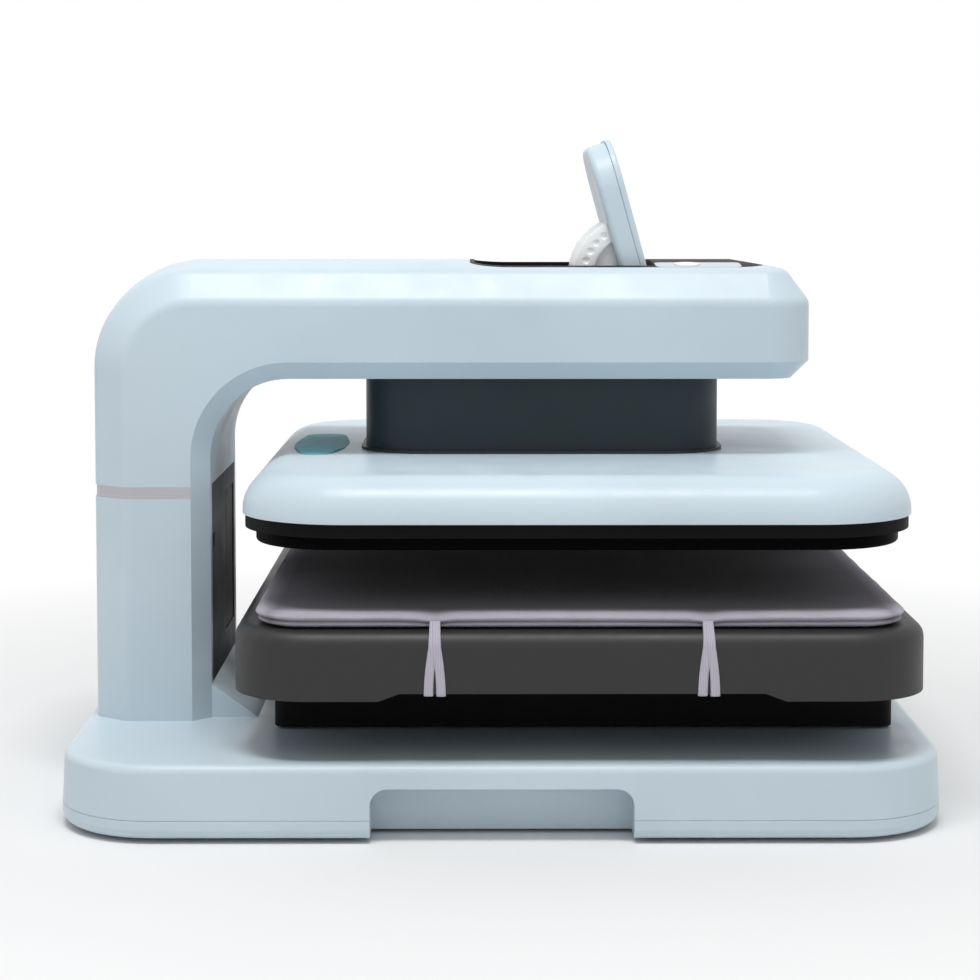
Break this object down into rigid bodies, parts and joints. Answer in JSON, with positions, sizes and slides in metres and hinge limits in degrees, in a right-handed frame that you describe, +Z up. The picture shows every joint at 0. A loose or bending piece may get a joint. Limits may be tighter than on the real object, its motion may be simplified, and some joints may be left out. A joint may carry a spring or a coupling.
{
  "type": "flat heat press",
  "caption": "Automatic flat heat press on a C-shaped frame: a heated platen on a driven sleeve comes down on a padded pull-out tray, with a flip-up unit on the arm.",
  "frame": {"origin": "centre of the base on the floor, under the rubber feet", "axes": "+X out of the open front of the C, +Y to the far side in the picture, +Z up"},
  "size_m": [0.523, 0.4, 0.4086],
  "materials": {
    "light_blue_shell": "satin moulded plastic, soft grain",
    "slate_sleeve": "satin dark slate moulding",
    "black_plastic": "matt black moulding",
    "gloss_black_panel": "gloss black panel skin",
    "key_face": "pale key field",
    "start_face": "white key",
    "trim": "brushed silver trim",
    "frame_steel": "milled plate",
    "gear_metal": "cast housing",
    "bush_bronze": "sintered bush",
    "board": "circuit board",
    "foot_rubber": "rubber foot",
    "liner_grey": "smooth dark grey liner",
    "platen_coat": "black non-stick coat on aluminium",
    "rim_black": "heat-proof black rim",
    "element": "tubular heating element",
    "blanket": "fibre blanket",
    "lens_teal": "smoked teal lens",
    "tray_grey": "dark grey powder coat on cast aluminium",
    "pad_cloth": "soft grey cloth over foam",
    "band_cloth": "pale elastic band",
    "drum_white": "pale translucent white moulding"
  },
  "bodies": {
    "base": {"base_cover": "light_blue_shell", "base_pan": "light_blue_shell", "rubber_feet": "foot_rubber", "pan_screws": "frame_steel", "base_plate": "frame_steel", "column_shell": "light_blue_shell", "trim_band": "trim", "arm_shell": "light_blue_shell", "throat_cover": "light_blue_shell", "column_cover": "light_blue_shell", "throat_liner": "liner_grey", "liner_insert": "black_plastic", "control_panel": "gloss_black_panel", "key_strip": "key_face", "start_key": "start_face", "panel_well": "black_plastic", "hinge_pin": "frame_steel", "frame_plate_near": "frame_steel", "frame_plate_far": "frame_steel", "frame_spacers": "frame_steel", "lift_plate": "frame_steel", "guide_plate": "frame_steel", "lift_gearbox": "gear_metal", "lift_motor": "gear_metal", "guide_bushes": "bush_bronze", "control_board": "board", "mains_inlet": "black_plastic", "switch_frame": "black_plastic", "slide_rails": "frame_steel"},
    "press_head": {"head_cover": "light_blue_shell", "head_rim": "rim_black", "heat_platen": "platen_coat", "heating_element": "element", "insulation": "blanket", "head_bracket": "frame_steel", "platen_posts": "frame_steel", "sleeve": "slate_sleeve", "lead_screw": "frame_steel", "guide_rods": "frame_steel", "rear_lens": "lens_teal"},
    "tray_drawer": {"tray": "tray_grey", "carriage": "black_plastic", "slide_runners": "frame_steel", "pad": "pad_cloth", "straps": "band_cloth"},
    "flip_unit": {"flip_shell": "light_blue_shell", "flip_cover": "light_blue_shell", "flip_drum": "drum_white"},
    "power_rocker": {"switch_rocker": "black_plastic"}
  },
  "joints": [
    {"name": "press_slide", "type": "slide", "parent": "base", "child": "press_head", "axis": [0, 0, -1], "range_m": [0, 0.0345]},
    {"name": "tray_slide", "type": "slide", "parent": "base", "child": "tray_drawer", "axis": [1, 0, 0], "range_m": [0, 0.2]},
    {"name": "flip_hinge", "type": "hinge", "parent": "base", "child": "flip_unit", "pos_m": [0.086, 0, 0.3205], "axis": [0, -1, 0], "range_deg": [0, 74.5]},
    {"name": "rocker_hinge", "type": "hinge", "parent": "base", "child": "power_rocker", "pos_m": [-0.252, 0.024, 0.0755], "axis": [0, -1, 0], "range_deg": [0, 20]}
  ]
}
